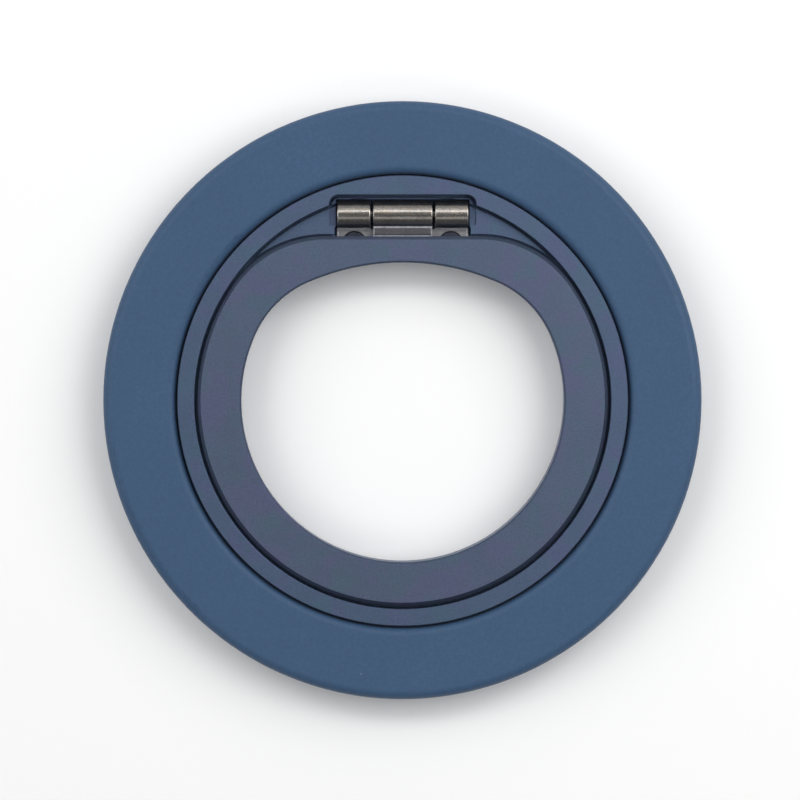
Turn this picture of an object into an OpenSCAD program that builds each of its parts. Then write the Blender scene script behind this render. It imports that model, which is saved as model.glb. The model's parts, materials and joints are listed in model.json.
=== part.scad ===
/* [Outer ring] */
// Outside diameter of the silicone skin
ring_d = 58; // [57.6:0.1:62]
// Height of the skin above the face that sits on the phone
skin_top = 5; // [4.9:0.05:5.1]
// Radius of the skin's outer top edge
skin_edge = 0.9; // [0.5:0.1:1]
// Radius of the skin's inner top edge
skin_inner_edge = 0.8; // [0.5:0.05:0.9]
// Thickness of the pad that grips the phone
pad_t = 0.5; // [0.4:0.05:0.5]
// Number of magnets in the array
magnet_count = 18; // [12:1:18]
// Inside diameter of the magnet array
array_id = 46; // [45.8:0.1:46.2]
// Outside diameter of the magnet array
array_od = 54; // [53:0.1:54.4]

/* [Swivel base] */
// Outside radius of the bezel
bezel_r = 21.82; // [21.8:0.01:21.84]
// Inside radius of the bezel
bezel_ri = 20.15; // [20.1:0.01:20.3]
// Height of the faces of the bezel and of the D ring
face_z = 5.2; // [5.1:0.05:5.3]
// Height of the ledge that the D ring lies over
ledge_z = 3.3; // [3.2:0.05:3.3]
// Height of the shallow shelf beside the D ring's flat side
shelf_z = 4.2; // [4.1:0.05:4.4]

/* [D ring] */
// Radius of the round side of the D ring
d_r = 19.87; // [19.8:0.01:19.95]
// Distance of the D ring's flat side from the centre
d_flat = 15.93; // [15.85:0.01:16]
// Radius of the corners between the flat side and the round side
d_corner = 10.9; // [10:0.1:11.5]
// Radius of the round side of the finger opening
hole_r = 15.63; // [15.4:0.01:15.7]
// Distance of the opening's shallow top from the centre
hole_top = 13.39; // [13.2:0.01:13.45]
// Radius of the opening's shallow top
hole_top_r = 22.8; // [20:0.2:28]
// Radius of the opening's upper corners
hole_corner = 9.95; // [9:0.05:10.5]
// Width of the chamfer round the outside of the D ring's face
face_bevel = 0.33; // [0.2:0.01:0.4]
// Width of the chamfer round the finger opening
hole_bevel = 0.18; // [0.1:0.01:0.4]

/* [Hinge] */
// Length of the hinge barrel
barrel_l = 12.75; // [12:0.05:12.8]
// Diameter of the hinge barrel
barrel_d = 2.7; // [2.6:0.05:2.7]
// Length of the centre knuckle
knuckle_l = 5.8; // [5.4:0.1:6]
// Gap between knuckles
knuckle_gap = 0.2; // [0.15:0.01:0.3]
// Distance of the hinge axis from the centre
axis_y = 18.05; // [18:0.01:18.1]
// Diameter of the hinge pin
pin_d = 1.1; // [1:0.05:1.2]

/* [Hidden] */
magnet_names = [for (i = [1:magnet_count]) str("magnet_", i < 10 ? "0" : "", i)];

$fn = 96;
// How far a cutter runs past what it cuts
over = 0.2;
// How far a corner arc stands proud of the arcs that it blends into, so that they cross
lap = 0.01;

blue = [0.28, 0.37, 0.49];
anodised = [0.33, 0.38, 0.46];
gunmetal = [0.35, 0.35, 0.36];
black_steel = [0.2, 0.21, 0.25];
dark_plastic = [0.13, 0.16, 0.22];
nickel = [0.75, 0.75, 0.73];
clear_film = [0.85, 0.85, 0.8];
white_ptfe = [0.92, 0.92, 0.9];

// Outer ring, from the phone upwards
ring_r = ring_d / 2;
reach = 2 * ring_r;
skin_wall = 1;
skin_foot_edge = 0.25;
adhesive_t = 0.1;
plate_t = 0.4;
plate_bottom = pad_t + adhesive_t;
plate_top = plate_bottom + plate_t;
plate_ri = bezel_r + 0.15;
plate_r = ring_r - skin_wall - 0.05;
pad_ri = plate_ri + 0.4;
pad_r = ring_r - 0.3;
pad_edge = 0.12;
groove_w = 0.3;
groove_deep = 0.15;
groove_count = 5;

magnet_ri = array_id / 2 + 0.05;
magnet_ro = array_od / 2 - 0.05;
magnet_t = 1.6;
magnet_gap = 0.25;
shunt_t = 0.4;
channel_top = plate_top + magnet_t + shunt_t + 0.1;
carrier_top = channel_top + 0.5;

// Swivel bearing: the base's flange runs between two washers, inside the carrier's bore
bore_r = bezel_r + 0.08;
skin_r = bore_r + 0.05;
washer_t = 0.12;
play = 0.03;
flange_t = 0.6;
flange_r = bezel_r + 0.68;
flange_z = plate_top + washer_t + play;
shoulder_z = flange_z + flange_t + play + washer_t;
seat_r = flange_r + 0.1;
washer_ri = bore_r + 0.1;
washer_ro = seat_r - 0.05;
base_z = pad_t + 0.05;
base_edge = 0.1;
bezel_bevel = 0.08;
base_hole_grow = 0.1;

// Recess that the D ring lies in: it follows the bezel's round side and stays this far from the flat side
recess_gap = 0.2;
// Width of the relief groove at the foot of the bezel's wall, round the shelf and the hinge pocket
relief_w = 0.25;

// Pocket for the hinge, milled into the shelf and the bezel, with a trough for the barrel
// and a slot for the leaf
pocket_z = shelf_z - 0.25;
pocket_w = 14.2;
pocket_top = 19.9;
pocket_corner = 0.9;
pocket_step_y = 17;
trough_gap = 0.1;
slot_w = 13.2;
slot_corner = 0.4;
slot_end = 13.8;

// Hinge leaves
knuckle_r = barrel_d / 2;
knuckle_edge = 0.14;
axis_z = face_z - knuckle_r;
side_x = knuckle_l / 2 + knuckle_gap;
leaf_t = 0.7;
leaf_z = ledge_z - leaf_t;
leaf_end = 13.9;
window_y = 16.6;
moving_w = 5.7;
moving_t = 0.6;
moving_top = axis_z + 0.49;
moving_z = moving_top - moving_t;
moving_end = 13.75;
moving_clear = 0.1;
// Raised pad on the moving leaf, between the knuckle and the D ring
pad_up = 0.1;
pad_y0 = d_flat + 0.06;
pad_y1 = axis_y - 1.2;
d_z = ledge_z + 0.05;
low_bevel = 0.15;

// Friction sleeve round the pin, gripped by the centre knuckle
sleeve_ri = pin_d / 2 + 0.02;
sleeve_ro = sleeve_ri + 0.25;
sleeve_slit = 0.3;
knuckle_bore = sleeve_ro + 0.01;
side_bore = pin_d / 2 + 0.01;

// Screws: [head diameter, head thickness, shank diameter, shank length]
leaf_screw = [2.3, 0.4, 1.2, 1.1];
ring_screw = [1.7, 0.3, 0.9, 0.85];
leaf_screw_at = [4.66, 15.25, ledge_z - 0.45];
ring_screw_at = [1.6, 14.85, moving_z + 0.32];
head_edge = 0.08;
head_clear = 0.05;
shank_clear = 0.02;
shank_deep = 0.1;
cross_w = 0.25;
cross_deep = 0.2;

// Centres of the opening's arcs: its corners touch its round side and its shallow top from inside
top_c = [0, hole_top - hole_top_r];
near = hole_r - hole_corner;
far = hole_top_r - hole_corner;
hole_cy = (near * near - far * far + top_c.y * top_c.y) / (2 * top_c.y);
hole_c = [sqrt(near * near - hole_cy * hole_cy), hole_cy];

// A rectangle with its corners rounded: r is [low left, low right, high right, high left]
module round_rect(p, s, r) {
    difference() {
        translate(p) square(s);
        for (i = [0:3]) if (r[i] > 0) {
            at = [i == 1 || i == 2 ? 1 : 0, i > 1 ? 1 : 0];
            tip = [p.x + s.x * at.x, p.y + s.y * at.y];
            difference() {
                translate(tip) square(2 * r[i], center = true);
                translate(tip + r[i] * [1 - 2 * at.x, 1 - 2 * at.y]) circle(r[i]);
            }
        }
    }
}

// A ring with a rectangular section
module ring(r_in, r_out, z0, z1) {
    rotate_extrude() translate([r_in, z0]) square([r_out - r_in, z1 - z0]);
}

// A disc with its lower and upper edges chamfered
module disc(r, z0, z1, low, high) {
    rotate_extrude() polygon([
        [0, z0], [r - low, z0], [r, z0 + low], [r, z1 - high], [r - high, z1], [0, z1]
    ]);
}

// The section of a cutter that is flared at its top, and at its foot where the cut goes right through
function flared(r, z0, z1, low, high) = concat(
    low > 0 ? [[0, z0 - over], [r + low + over, z0 - over], [r, z0 + low]] : [[0, z0], [r, z0]],
    [[r, z1 - high], [r + high + over, z1 + over], [0, z1 + over]]
);

// The cutter for a round opening or pocket
module flare(r, z0, z1, low, high) {
    rotate_extrude() polygon(flared(r, z0, z1, low, high));
}

// A section in Y and Z, extruded along X about the middle
module along_x(l, section) {
    translate([-l / 2, 0, 0]) rotate([90, 0, 90]) linear_extrude(l) polygon(section);
}

module both_sides() {
    children();
    mirror([1, 0, 0]) children();
}

// What lies on the -Y side of y, in plan
module below(y) {
    intersection() {
        children();
        translate([-reach, y - 2 * reach, -reach]) cube(2 * reach);
    }
}

// What lies within x of the middle and on the +Y side of the centre, in plan
module within(x) {
    intersection() {
        children();
        translate([-x, 0, -reach]) cube([2 * x, reach, 2 * reach]);
    }
}

// A chamfered D: round below, with a flat side towards +Y, and corners that touch both from inside
module d_solid(r, flat, corner, z0, z1, low, high) {
    c = [sqrt(pow(r - corner, 2) - pow(flat - corner, 2)), flat - corner];
    intersection() {
        union() {
            below(c.y * r / norm(c)) disc(r, z0, z1, low, high);
            both_sides() translate(c) disc(corner + lap, z0, z1, low, high);
            translate([-c.x, 0, z0]) cube([2 * c.x, flat + over, z1 - z0]);
        }
        along_x(2 * reach, [
            [-reach, z0], [flat - low, z0], [flat, z0 + low],
            [flat, z1 - high], [flat - high, z1], [-reach, z1]
        ]);
    }
}

// The cutter for the finger opening, grown all round
module hole_cutter(grow, z0, z1, low, high) {
    below(hole_c.y * hole_r / norm(hole_c)) flare(hole_r + grow, z0, z1, low, high);
    within(hole_c.x * hole_top_r / far) translate(top_c) flare(hole_top_r + grow, z0, z1, low, high);
    both_sides() translate(hole_c) flare(hole_corner + grow + lap, z0, z1, low, high);
}

// A cylinder along the hinge axis with rounded ends
module barrel(x0, x1, r, edge) {
    translate([x0, axis_y, axis_z]) rotate([0, 90, 0]) rotate_extrude()
        round_rect([0, 0], [r, x1 - x0], [0, edge, edge, 0]);
}

// A bore along the hinge axis
module axis_bore(r) {
    translate([-barrel_l, axis_y, axis_z]) rotate([0, 90, 0]) cylinder(r = r, h = 2 * barrel_l);
}

// A screw with its head upwards and the underside of the head at z = 0
module screw(s) {
    difference() {
        union() {
            disc(s[0] / 2, 0, s[1], 0.01, head_edge);
            translate([0, 0, -s[3]]) cylinder(d = s[2], h = s[3] + s[1] / 2);
        }
        for (a = [0, 90]) rotate([0, 0, a]) translate([-s[0] * 0.3, -cross_w / 2, s[1] - cross_deep])
            cube([s[0] * 0.6, cross_w, cross_deep + over]);
    }
}

// The holes for a screw's head and shank, with the underside of the head at z = 0
module screw_cutter(s, head_h) {
    cylinder(r = s[0] / 2 + head_clear, h = head_h);
    translate([0, 0, -s[3] - shank_deep]) cylinder(r = s[2] / 2 + shank_clear, h = s[3] + shank_deep + over);
}

module outer_skin() {
    color(blue) rotate_extrude() difference() {
        round_rect([skin_r, pad_t], [ring_r - skin_r, skin_top - pad_t],
            [0, skin_foot_edge, skin_edge, skin_inner_edge]);
        square([ring_r - skin_wall, carrier_top]);
    }
}

// The channel inside it holds the magnets, and the step in its bore holds the base's flange
module carrier_ring() {
    color(dark_plastic) rotate_extrude() difference() {
        translate([bore_r, plate_top]) square([ring_r - skin_wall - bore_r, carrier_top - plate_top]);
        translate([array_id / 2, 0]) square([(array_od - array_id) / 2, channel_top]);
        square([seat_r, shoulder_z]);
    }
}

module steel_shunt_ring() {
    color(nickel) ring(magnet_ri, magnet_ro, plate_top + magnet_t, plate_top + magnet_t + shunt_t);
}

module back_plate() {
    color(dark_plastic) ring(plate_ri, plate_r, plate_bottom, plate_top);
}

module pad_adhesive() {
    color(clear_film) ring(pad_ri + 0.1, plate_r, pad_t, plate_bottom);
}

module grip_pad() {
    pitch = (pad_r - pad_ri) / (groove_count + 1);
    color(blue) rotate_extrude() difference() {
        round_rect([pad_ri, 0], [pad_r - pad_ri, pad_t], [pad_edge, pad_edge, 0, 0]);
        for (i = [1:groove_count]) translate([pad_ri + i * pitch - groove_w / 2, -over])
            square([groove_w, over + groove_deep]);
    }
}

// One arc-shaped magnet, numbered anticlockwise from +X
module magnet(i) {
    half = 180 / magnet_count;
    tip = magnet_gap / 2 / sin(half);
    color(nickel) rotate([0, 0, (i - 0.5) * 2 * half]) intersection() {
        ring(magnet_ri, magnet_ro, plate_top, plate_top + magnet_t);
        linear_extrude(channel_top) polygon([
            [tip, 0], [tip + reach * cos(half), -reach * sin(half)],
            [tip + reach * cos(half), reach * sin(half)]
        ]);
    }
}

module upper_glide_washer() {
    color(white_ptfe) ring(washer_ri, washer_ro, shoulder_z - washer_t, shoulder_z);
}

module lower_glide_washer() {
    color(white_ptfe) ring(washer_ri, washer_ro, plate_top, plate_top + washer_t);
}

// The hinge pocket: shallow round the barrel, with a trough under it and a slot for the leaf
module hinge_pocket() {
    corner_x = pocket_w / 2 - pocket_corner;
    corner_y = pocket_top - pocket_corner;
    both_sides() translate([corner_x, corner_y]) flare(pocket_corner, pocket_z, face_z, 0, bezel_bevel);
    along_x(2 * corner_x, [
        [pocket_step_y, pocket_z], [pocket_top, pocket_z], [pocket_top, face_z - bezel_bevel],
        [pocket_top + bezel_bevel + over, face_z + over], [pocket_step_y, face_z + over]
    ]);
    both_sides() translate([0, corner_y, 0]) rotate([90, 0, 0]) linear_extrude(corner_y - pocket_step_y)
        polygon(flared(pocket_w / 2, pocket_z, face_z, 0, bezel_bevel));
    wall_end = sqrt(pow(bezel_ri, 2) - pow(pocket_w / 2, 2)) - relief_w;
    translate([0, 0, ledge_z]) linear_extrude(face_z) difference() {
        round_rect([-pocket_w / 2, wall_end], [pocket_w, pocket_top - wall_end],
            pocket_corner * [0, 0, 1, 1]);
        round_rect([relief_w - pocket_w / 2, wall_end - over],
            [pocket_w - 2 * relief_w, pocket_top - relief_w - wall_end + over],
            (pocket_corner - relief_w) * [0, 0, 1, 1]);
    }
    trough = knuckle_r + trough_gap;
    translate([-barrel_l / 2 - trough_gap, axis_y - trough, axis_z - trough])
        cube([barrel_l + 2 * trough_gap, 2 * trough, face_z]);
    translate([0, 0, leaf_z]) linear_extrude(face_z)
        round_rect([-slot_w / 2, slot_end], [slot_w, pocket_step_y - slot_end], slot_corner * [1, 1, 1, 1]);
}

module swivel_base() {
    color(anodised) difference() {
        rotate_extrude() polygon([
            [0, base_z], [bezel_r - base_edge, base_z], [bezel_r, base_z + base_edge],
            [bezel_r, flange_z], [flange_r, flange_z], [flange_r, flange_z + flange_t],
            [bezel_r, flange_z + flange_t], [bezel_r, face_z - bezel_bevel], [bezel_r - bezel_bevel, face_z],
            [0, face_z]
        ]);
        below(pocket_top) {
            flare(bezel_ri, shelf_z, face_z, 0, bezel_bevel);
            ring(bezel_ri - relief_w, bezel_ri, ledge_z, face_z);
        }
        d_solid(bezel_ri, d_flat + recess_gap, d_corner + recess_gap, ledge_z, face_z + over, 0, 0);
        hinge_pocket();
        hole_cutter(base_hole_grow, base_z, ledge_z, base_edge, base_edge);
        both_sides() translate(leaf_screw_at) screw_cutter(leaf_screw, leaf_screw[1]);
    }
}

// The plate lies in the base, and its two outer knuckles stand either side of a window for the centre one
module fixed_leaf() {
    color(gunmetal) difference() {
        union() {
            translate([-barrel_l / 2, leaf_end, leaf_z]) cube([barrel_l, axis_y - leaf_end, leaf_t]);
            both_sides() barrel(side_x, barrel_l / 2, knuckle_r, knuckle_edge);
        }
        translate([-side_x, window_y, 0]) cube([2 * side_x, axis_y, axis_z]);
        axis_bore(side_bore);
        both_sides() translate(leaf_screw_at) screw_cutter(leaf_screw, leaf_t);
    }
}

module fixed_leaf_screws() {
    color(black_steel) both_sides() translate(leaf_screw_at) screw(leaf_screw);
}

module hinge_pin() {
    color(nickel) barrel(-barrel_l / 2, barrel_l / 2, pin_d / 2, knuckle_edge);
}

module d_ring() {
    color(anodised) difference() {
        d_solid(d_r, d_flat, d_corner, d_z, face_z, low_bevel, face_bevel);
        hole_cutter(0, d_z, face_z, low_bevel, hole_bevel);
        translate([-moving_w / 2 - moving_clear, moving_end - moving_clear, d_z - over])
            cube([moving_w + 2 * moving_clear, d_flat, moving_top - d_z + over]);
        ring_screws_placed() screw_cutter(ring_screw, ring_screw[1]);
    }
}

// These two screws go in from below, with the ring folded out
module ring_screws_placed() {
    both_sides() translate(ring_screw_at) rotate([180, 0, 0]) children();
}

// Its edges are chamfered all round
module raised_pad() {
    intersection() {
        along_x(moving_w, [
            [pad_y0, moving_top - pad_up], [pad_y0, moving_top], [pad_y0 + pad_up, moving_top + pad_up],
            [pad_y1 - pad_up, moving_top + pad_up], [pad_y1, moving_top], [pad_y1, moving_top - pad_up]
        ]);
        translate([0, axis_y, 0]) rotate([90, 0, 0]) linear_extrude(axis_y - moving_end) polygon([
            [-moving_w / 2, moving_z], [moving_w / 2, moving_z], [moving_w / 2, moving_top],
            [moving_w / 2 - pad_up, moving_top + pad_up], [pad_up - moving_w / 2, moving_top + pad_up],
            [-moving_w / 2, moving_top]
        ]);
    }
}

module moving_leaf() {
    color(gunmetal) difference() {
        union() {
            translate([-moving_w / 2, moving_end, moving_z]) cube([moving_w, axis_y - moving_end, moving_t]);
            raised_pad();
            barrel(-knuckle_l / 2, knuckle_l / 2, knuckle_r, knuckle_edge);
        }
        axis_bore(knuckle_bore);
        ring_screws_placed() screw_cutter(ring_screw, moving_t);
    }
}

module moving_leaf_screws() {
    color(black_steel) ring_screws_placed() screw(ring_screw);
}

// A slit spring sleeve: the knuckle holds it, and it rubs on the pin
module friction_sleeve() {
    l = knuckle_l - 2 * knuckle_edge;
    color(black_steel) difference() {
        barrel(-l / 2, l / 2, sleeve_ro, 0.05);
        axis_bore(sleeve_ri);
        translate([-l, axis_y - sleeve_slit / 2, axis_z]) cube([2 * l, sleeve_slit, knuckle_r]);
    }
}

outer_skin();
carrier_ring();
steel_shunt_ring();
back_plate();
pad_adhesive();
grip_pad();
for (i = [1:magnet_count]) magnet(i);
upper_glide_washer();
lower_glide_washer();
swivel_base();
fixed_leaf();
fixed_leaf_screws();
hinge_pin();
d_ring();
moving_leaf();
moving_leaf_screws();
friction_sleeve();
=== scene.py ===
import json
import math

import bpy
from mathutils import Matrix, Vector


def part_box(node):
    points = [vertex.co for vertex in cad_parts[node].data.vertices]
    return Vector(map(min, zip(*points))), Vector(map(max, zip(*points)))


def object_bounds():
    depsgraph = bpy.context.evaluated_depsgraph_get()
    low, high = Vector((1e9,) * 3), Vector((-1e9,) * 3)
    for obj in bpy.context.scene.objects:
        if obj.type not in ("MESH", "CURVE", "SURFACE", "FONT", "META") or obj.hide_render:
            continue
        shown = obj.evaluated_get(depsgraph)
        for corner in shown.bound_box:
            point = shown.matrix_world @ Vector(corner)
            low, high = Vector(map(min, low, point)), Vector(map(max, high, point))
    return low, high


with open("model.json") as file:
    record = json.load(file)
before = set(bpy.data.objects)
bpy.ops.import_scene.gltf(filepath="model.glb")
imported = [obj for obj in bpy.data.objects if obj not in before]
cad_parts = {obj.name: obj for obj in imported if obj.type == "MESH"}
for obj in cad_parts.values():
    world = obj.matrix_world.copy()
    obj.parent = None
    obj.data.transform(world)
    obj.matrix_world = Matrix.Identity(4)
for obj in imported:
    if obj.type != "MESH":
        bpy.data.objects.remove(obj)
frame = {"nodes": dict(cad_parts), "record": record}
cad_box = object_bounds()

MM = 0.001

# Most values of a noise lie between these two
NOISE_LOW = 0.25
NOISE_HIGH = 0.75

# The colour sockets of a Mix node, whose names repeat for each data type
MIX_A = 6
MIX_B = 7
MIX_RESULT = 2

BEVEL_SAMPLES = 6


# ---------------------------------------------------------------- node helpers

class Material:
    """One procedural material. Its coordinates are the object's own, in metres, so they move with it."""

    def __init__(self, name, base, rough, metal=0.0, specular=0.5):
        self.mat = bpy.data.materials.new(name)
        self.mat.use_nodes = True
        self.nodes = self.mat.node_tree.nodes
        self.links = self.mat.node_tree.links
        self.shader = self.nodes["Principled BSDF"]
        self.shader.inputs["Roughness"].default_value = rough
        self.shader.inputs["Metallic"].default_value = metal
        self.shader.inputs["Specular IOR Level"].default_value = specular
        self.color = self.rgb(base)
        self.rough = None
        self.coords = self.nodes.new("ShaderNodeTexCoord").outputs["Object"]
        self.normal = None

    def rgb(self, color):
        node = self.nodes.new("ShaderNodeRGB")
        node.outputs[0].default_value = (*color, 1)
        return node.outputs[0]

    def stretched(self, scale):
        """The coordinates, scaled separately along X, Y and Z."""
        node = self.nodes.new("ShaderNodeMapping")
        node.inputs["Scale"].default_value = scale
        self.links.new(self.coords, node.inputs["Vector"])
        return node.outputs[0]

    def noise(self, size, detail, coords=None, rough=0.5):
        """Noise between 0 and 1, with features about this many metres across."""
        node = self.nodes.new("ShaderNodeTexNoise")
        node.inputs["Scale"].default_value = 1 / size
        node.inputs["Detail"].default_value = detail
        node.inputs["Roughness"].default_value = rough
        self.links.new(coords or self.coords, node.inputs["Vector"])
        return node.outputs["Fac"]

    def cells(self, size):
        """Voronoi cells of about this many metres: the distance to a cell's centre, and its random colour."""
        node = self.nodes.new("ShaderNodeTexVoronoi")
        node.inputs["Scale"].default_value = 1 / size
        self.links.new(self.coords, node.inputs["Vector"])
        return node.outputs["Distance"], node.outputs["Color"]

    def remap(self, value, low, high, to_low=0.0, to_high=1.0):
        node = self.nodes.new("ShaderNodeMapRange")
        for name, number in zip(("From Min", "From Max", "To Min", "To Max"), (low, high, to_low, to_high)):
            node.inputs[name].default_value = number
        self.links.new(value, node.inputs["Value"])
        return node.outputs["Result"]

    def math(self, operation, a, b):
        node = self.nodes.new("ShaderNodeMath")
        node.operation = operation
        for socket, value in zip(node.inputs, (a, b)):
            if isinstance(value, (int, float)):
                socket.default_value = value
            else:
                self.links.new(value, socket)
        return node.outputs[0]

    def frame_mask(self, low, high, width, soft):
        """In plan, 0 inside this rectangle drawn in by a width, and 1 outside it, over a soft step."""
        node = self.nodes.new("ShaderNodeSeparateXYZ")
        self.links.new(self.coords, node.inputs[0])
        beyond = None
        for axis in (0, 1):
            half = (high[axis] - low[axis]) / 2 - width
            offset = self.math("SUBTRACT", node.outputs[axis], (low[axis] + high[axis]) / 2)
            past = self.math("SUBTRACT", self.math("ABSOLUTE", offset, 0), half)
            beyond = self.math("MAXIMUM", beyond, past) if beyond else past
        return self.remap(beyond, -soft, soft)

    def tint(self, mask, color):
        """Mixes this colour in where the mask is 1."""
        node = self.nodes.new("ShaderNodeMix")
        node.data_type = "RGBA"
        self.links.new(mask, node.inputs["Factor"])
        self.links.new(self.color, node.inputs[MIX_A])
        node.inputs[MIX_B].default_value = (*color, 1)
        self.color = node.outputs[MIX_RESULT]

    def specks(self, spacing, radius, rare, strength, color):
        """Scatters pale specks of dust: the nearer rare is to 1, the fewer of the cells hold one."""
        distance, pick = self.cells(spacing)
        edge = radius / spacing
        core = 0.6 * radius / spacing
        near = self.remap(distance, edge, core)
        kept = self.math("GREATER_THAN", pick, rare)
        shown = self.math("MULTIPLY", near, kept)
        self.tint(self.math("MULTIPLY", shown, strength), color)

    def vary(self, value, amount):
        """Brightens and darkens the colour by this share, over the usual range of a noise."""
        node = self.nodes.new("ShaderNodeHueSaturation")
        factor = self.remap(value, NOISE_LOW, NOISE_HIGH, 1 - amount, 1 + amount)
        self.links.new(factor, node.inputs["Value"])
        self.links.new(self.color, node.inputs["Color"])
        self.color = node.outputs["Color"]

    def roughen(self, value, amount):
        """Adds up to this much roughness either way, over the usual range of a noise."""
        before = self.rough or self.shader.inputs["Roughness"].default_value
        self.rough = self.math("ADD", before, self.remap(value, NOISE_LOW, NOISE_HIGH, -amount, amount))

    def bump(self, height, depth, strength):
        """Raises the surface by this many metres where the height is 1 and the strength is 1."""
        node = self.nodes.new("ShaderNodeBump")
        node.inputs["Strength"].default_value = strength
        node.inputs["Distance"].default_value = depth
        self.links.new(height, node.inputs["Height"])
        if self.normal:
            self.links.new(self.normal, node.inputs["Normal"])
        self.normal = node.outputs["Normal"]

    def round_edges(self, radius):
        """Shades sharp edges as if they were broken by this radius. It comes before any bump."""
        node = self.nodes.new("ShaderNodeBevel")
        node.samples = BEVEL_SAMPLES
        node.inputs["Radius"].default_value = radius
        self.normal = node.outputs["Normal"]

    def done(self):
        self.links.new(self.color, self.shader.inputs["Base Color"])
        if self.rough:
            self.links.new(self.rough, self.shader.inputs["Roughness"])
        if self.normal:
            self.links.new(self.normal, self.shader.inputs["Normal"])
        return self.mat


# ------------------------------------------------------------------- materials

def silicone(name, base):
    """Soft-touch silicone: fine pores, a little sheen and a few pale specks of dust."""
    m = Material(name, base, rough=0.58, specular=0.35)
    m.shader.inputs["Sheen Weight"].default_value = 0.08
    m.shader.inputs["Sheen Roughness"].default_value = 0.5
    m.vary(m.noise(9 * MM, detail=3), amount=0.04)
    m.vary(m.noise(0.3 * MM, detail=4, rough=0.7), amount=0.16)
    m.specks(spacing=2.6 * MM, radius=0.08 * MM, rare=0.6, strength=0.4, color=(0.32, 0.42, 0.5))
    m.roughen(m.noise(0.6 * MM, detail=3), amount=0.05)
    m.bump(m.noise(0.11 * MM, detail=2), depth=0.006 * MM, strength=0.5)
    m.bump(m.noise(0.5 * MM, detail=3), depth=0.008 * MM, strength=0.4)
    return m.done()


def anodised(name, base):
    """Bead-blasted and dyed aluminium: a frosted grain, with its colour a little uneven.

    The dyed oxide scatters some of the light, so it isn't all metal.
    """
    purple = (base[0] * 1.1, base[1] * 0.96, base[2] * 1.05)
    teal = (base[0] * 0.94, base[1] * 1.05, base[2] * 0.98)
    m = Material(name, base, rough=0.46, metal=0.8)
    m.round_edges(0.04 * MM)
    m.vary(m.noise(5 * MM, detail=2), amount=0.04)
    m.tint(m.remap(m.noise(3.2 * MM, detail=2), low=0.48, high=0.62), purple)
    m.tint(m.remap(m.noise(2.7 * MM, detail=2), low=0.52, high=0.66), teal)
    m.vary(m.noise(0.2 * MM, detail=4, rough=0.7), amount=0.2)
    m.specks(spacing=3.4 * MM, radius=0.07 * MM, rare=0.6, strength=0.5, color=(0.45, 0.5, 0.55))
    m.roughen(m.noise(0.3 * MM, detail=3), amount=0.04)
    m.bump(m.noise(0.1 * MM, detail=2, rough=0.6), depth=0.008 * MM, strength=0.6)
    return m.done()


def gunmetal(name, base, leaf_color, low, high):
    """Tumbled steel with fine draw lines along X, warm where the finish is thin.

    The leaf, which lies inside the rectangle from low to high in plan, is grey inside, with a painted
    highlight round its edges that stands for the light its chamfers catch.
    """
    metal = 0.98
    highlight_metal = 0.5
    warm = (base[0] * 1.25, base[1] * 1.05, base[2] * 0.85)
    m = Material(name, base, rough=0.3, metal=metal)
    m.round_edges(0.03 * MM)
    lines = m.noise(1 * MM, detail=4, coords=m.stretched((0.5, 9, 9)), rough=0.7)
    blotches = m.noise(0.8 * MM, detail=3, coords=m.stretched((1, 2, 2)), rough=0.6)
    m.tint(m.remap(blotches, low=0.5, high=0.7, to_high=0.6), warm)
    m.vary(m.noise(0.25 * MM, detail=4, rough=0.75), amount=0.25)

    margin = Vector((1, 1, 0)) * 0.05 * MM
    off_leaf = m.frame_mask(low - margin, high + margin, width=0, soft=0.02 * MM)
    leaf = m.math("SUBTRACT", 1, off_leaf)
    m.tint(m.math("MULTIPLY", leaf, 0.8), leaf_color)
    m.vary(m.noise(1.1 * MM, detail=2), amount=0.12)

    # Painted highlight: a pale band round the leaf's edges stands for the light its chamfers catch from the
    # side lamps, and the metallic value drops there too
    edges = m.frame_mask(low, high, width=0.11 * MM, soft=0.04 * MM)
    ragged = m.remap(m.noise(0.4 * MM, detail=3), low=0.3, high=0.6, to_low=0.55)
    painted_edge_highlight = m.math("MULTIPLY", m.math("MULTIPLY", leaf, edges), ragged)
    m.tint(painted_edge_highlight, (0.66, 0.66, 0.7))
    m.links.new(m.remap(painted_edge_highlight, 0, 1, metal, highlight_metal), m.shader.inputs["Metallic"])

    # The leaf is rougher than the barrel by twice this amount
    m.roughen(m.math("MULTIPLY", leaf, NOISE_HIGH), amount=0.06)
    m.roughen(lines, amount=0.06)
    m.bump(lines, depth=0.006 * MM, strength=0.5)
    m.bump(m.noise(0.18 * MM, detail=3), depth=0.005 * MM, strength=0.5)
    return m.done()


def turned_steel(name, base, rough):
    """Small turned parts: screws, pin and sleeve."""
    m = Material(name, base, rough, metal=1.0)
    m.round_edges(0.03 * MM)
    m.vary(m.noise(0.3 * MM, detail=3), amount=0.12)
    m.roughen(m.noise(0.4 * MM, detail=3), amount=0.06)
    m.bump(m.noise(0.09 * MM, detail=3), depth=0.004 * MM, strength=0.6)
    return m.done()


def plated(name, base, rough):
    """Nickel plate and rolled steel inside the ring."""
    m = Material(name, base, rough, metal=1.0)
    m.vary(m.noise(2 * MM, detail=4), amount=0.06)
    m.roughen(m.noise(1.2 * MM, detail=4), amount=0.08)
    m.bump(m.noise(0.2 * MM, detail=3), depth=0.003 * MM, strength=0.5)
    return m.done()


def moulded(name, base, rough):
    """Satin moulded plastic with a spark-eroded texture."""
    m = Material(name, base, rough, specular=0.4)
    m.vary(m.noise(3 * MM, detail=3), amount=0.04)
    m.roughen(m.noise(0.5 * MM, detail=3), amount=0.06)
    m.bump(m.noise(0.08 * MM, detail=2), depth=0.006 * MM, strength=0.6)
    return m.done()


def film(name, base):
    """Thin adhesive film."""
    m = Material(name, base, rough=0.3)
    m.shader.inputs["Alpha"].default_value = 0.6
    m.vary(m.noise(4 * MM, detail=3), amount=0.05)
    m.bump(m.noise(0.6 * MM, detail=3), depth=0.01 * MM, strength=0.4)
    return m.done()


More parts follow.
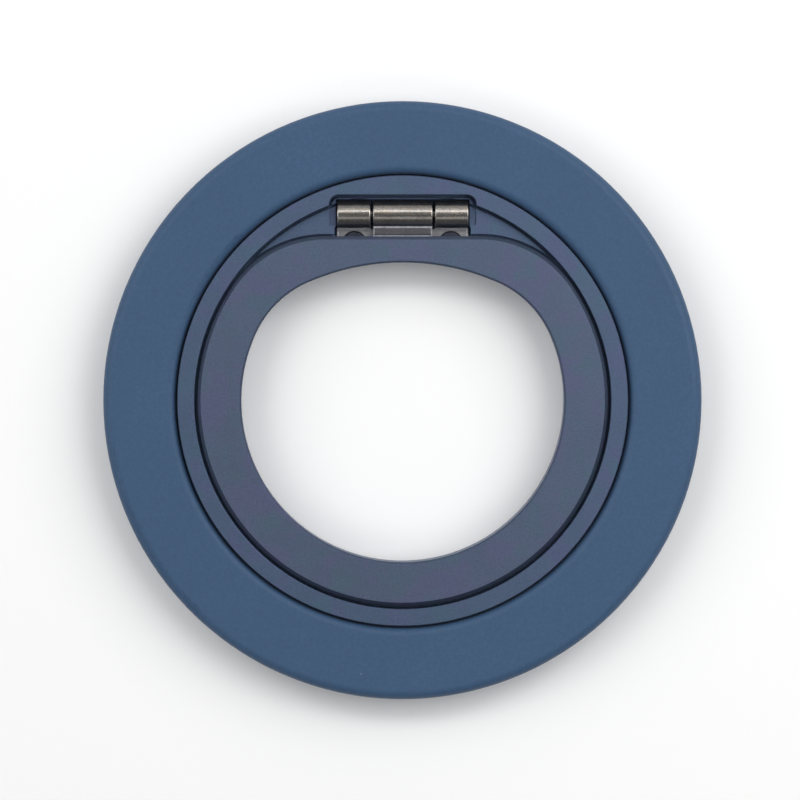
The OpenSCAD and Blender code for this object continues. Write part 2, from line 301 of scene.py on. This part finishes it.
BLUE = (0.0372, 0.085, 0.168)
METAL = (0.0966, 0.1281, 0.2)
BASE_METAL = (0.0865, 0.126, 0.206)
STEEL = (0.36, 0.34, 0.32)

# A look for each material slot
looks = {
    "skin": silicone("blue_silicone", BLUE),
    "pad": silicone("pad_silicone", (0.033, 0.069, 0.134)),
    "carrier": moulded("dark_polycarbonate", (0.012, 0.02, 0.04), rough=0.42),
    "adhesive": film("clear_adhesive", (0.7, 0.7, 0.62)),
    "magnet": plated("nickel_plate", (0.62, 0.6, 0.56), rough=0.22),
    "shunt": plated("rolled_steel", (0.42, 0.41, 0.4), rough=0.35),
    "washer": moulded("white_ptfe", (0.8, 0.8, 0.78), rough=0.4),
    "anodised": anodised("anodised_aluminium", METAL),
    "screw_steel": turned_steel("black_oxide", (0.07, 0.075, 0.1), rough=0.38),
    "pin_steel": turned_steel("ground_steel", (0.1, 0.1, 0.11), rough=0.3),
    "spring_steel": turned_steel("blued_steel", (0.12, 0.14, 0.2), rough=0.3),
}

# In plan, each leaf's rectangle of painted edge highlight runs along its visible part, and stops this far
# short of its two sides
inset = Vector((0.1, 0, 0)) * MM
pad_inset = Vector((0.05, 0, 0)) * MM
pad_overlap = 0.15 * MM
leaf_low, leaf_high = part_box("fixed_leaf")
plate_low, plate_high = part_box("moving_leaf")
barrel_y = leaf_high.y - (leaf_high.z - leaf_low.z)
d_edge_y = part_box("d_ring")[1].y

# Looks for single nodes, which come before their slot's
node_looks = {
    "swivel_base": anodised("anodised_base", BASE_METAL),
    "fixed_leaf": gunmetal(
        "gunmetal_fixed", STEEL, (0.34, 0.34, 0.36),
        leaf_low + inset, Vector((leaf_high.x, barrel_y, 0)) - inset
    ),
    "moving_leaf": gunmetal(
        "gunmetal_moving", STEEL, (0.088, 0.092, 0.115),
        Vector((plate_low.x, d_edge_y, 0)) + pad_inset,
        Vector((plate_high.x, barrel_y + pad_overlap, 0)) - pad_inset
    ),
}
slots = {part["node"]: part["material_slot"] for part in frame["record"]["subparts"]}
for node, piece in frame["nodes"].items():
    for slot in piece.material_slots:
        slot.material = node_looks.get(node) or looks[slots[node]]


# ----------------------------------------------------------- floor and studio

def make_floor(z):
    """A pale floor with a faint tooth, far wider than the object."""
    half = 4
    corners = [(-half, -half, z), (half, -half, z), (half, half, z), (-half, half, z)]
    mesh = bpy.data.meshes.new("floor")
    mesh.from_pydata(corners, [], [(0, 1, 2, 3)])
    floor = bpy.data.objects.new("floor", mesh)
    bpy.context.collection.objects.link(floor)
    m = Material("pale_floor", (0.98, 0.98, 0.98), rough=0.8, specular=0.2)
    m.vary(m.noise(60 * MM, detail=2), amount=0.004)
    mesh.materials.append(m.done())


def facing(away, up):
    """The rotation that turns an object's own Z to away, with its own Y as near as it can be to up."""
    z = away.normalized()
    x = up.cross(z).normalized()
    return Matrix((x, z.cross(x), z)).transposed().to_quaternion()


def softbox(name, azimuth, tilt, distance, width, height, radiance, color=(1, 1, 1)):
    """A soft light, tilted this many degrees from straight up, on this compass side: 0 is +Y and 90 is +X."""
    turn = math.radians(azimuth)
    lean = math.radians(tilt)
    side = Vector((math.sin(turn), math.cos(turn), 0))
    away = side * math.sin(lean) + Vector((0, 0, math.cos(lean)))
    light = bpy.data.lights.new(name, "AREA")
    light.shape = "RECTANGLE"
    light.size = width
    light.size_y = height
    light.energy = radiance * math.pi * width * height
    light.color = color
    lamp = bpy.data.objects.new(name, light)
    lamp.location = away * distance
    lamp.rotation_mode = "QUATERNION"
    lamp.rotation_quaternion = facing(away, side)
    bpy.context.collection.objects.link(lamp)


def make_camera():
    """Above the object, with a long lens.

    It stands a little to the left and towards the hinge, so it looks down at a slight tilt.
    """
    distance = 0.5
    frame_width = 77.7 * MM
    sensor = 36.0
    tilt_x = math.radians(-0.8)
    tilt_y = math.radians(1.8)
    target = Vector((-0.244 * MM, 0.03 * MM, 3 * MM))
    data = bpy.data.cameras.new("camera")
    data.sensor_width = sensor
    data.lens = sensor * distance / frame_width
    data.clip_start = 0.01
    data.clip_end = 10
    camera = bpy.data.objects.new("camera", data)
    away = Vector((math.tan(tilt_x), math.tan(tilt_y), 1)).normalized()
    camera.location = target + away * distance
    camera.rotation_mode = "QUATERNION"
    camera.rotation_quaternion = facing(away, Vector((0, 1, 0)))
    bpy.context.collection.objects.link(camera)
    bpy.context.scene.camera = camera


def make_world(color, strength):
    world = bpy.data.worlds.new("studio")
    world.use_nodes = True
    background = world.node_tree.nodes["Background"]
    background.inputs["Color"].default_value = (*color, 1)
    background.inputs["Strength"].default_value = strength
    bpy.context.scene.world = world


bpy.context.scene.view_settings.view_transform = "Standard"
FLOOR_GAP = 0.02 * MM
make_floor(cad_box[0].z - FLOOR_GAP)
make_world(color=(0.95, 0.97, 1.0), strength=0.1)

# The hinge barrel mirrors back_box and front_box as two bright lines along it
WARM = (1.0, 0.985, 0.96)
softbox("back_box", azimuth=0, tilt=29, distance=0.6, width=0.9, height=0.15, radiance=2.3, color=WARM)
softbox("back_fill", azimuth=0, tilt=48, distance=0.6, width=0.9, height=0.17, radiance=0.7)
softbox("back_low", azimuth=0, tilt=72, distance=0.6, width=0.9, height=0.3, radiance=0.35)
softbox("front_box", azimuth=180, tilt=29, distance=0.6, width=0.7, height=0.17, radiance=0.65)
softbox("right_box", azimuth=65, tilt=40, distance=0.4, width=0.32, height=0.36, radiance=2.5)
softbox("left_box", azimuth=285, tilt=44, distance=0.6, width=0.5, height=0.5, radiance=1.8)
softbox("front_right", azimuth=125, tilt=55, distance=0.5, width=0.35, height=0.35, radiance=0.32)
softbox("front_left", azimuth=235, tilt=55, distance=0.5, width=0.35, height=0.35, radiance=0.26)
make_camera()
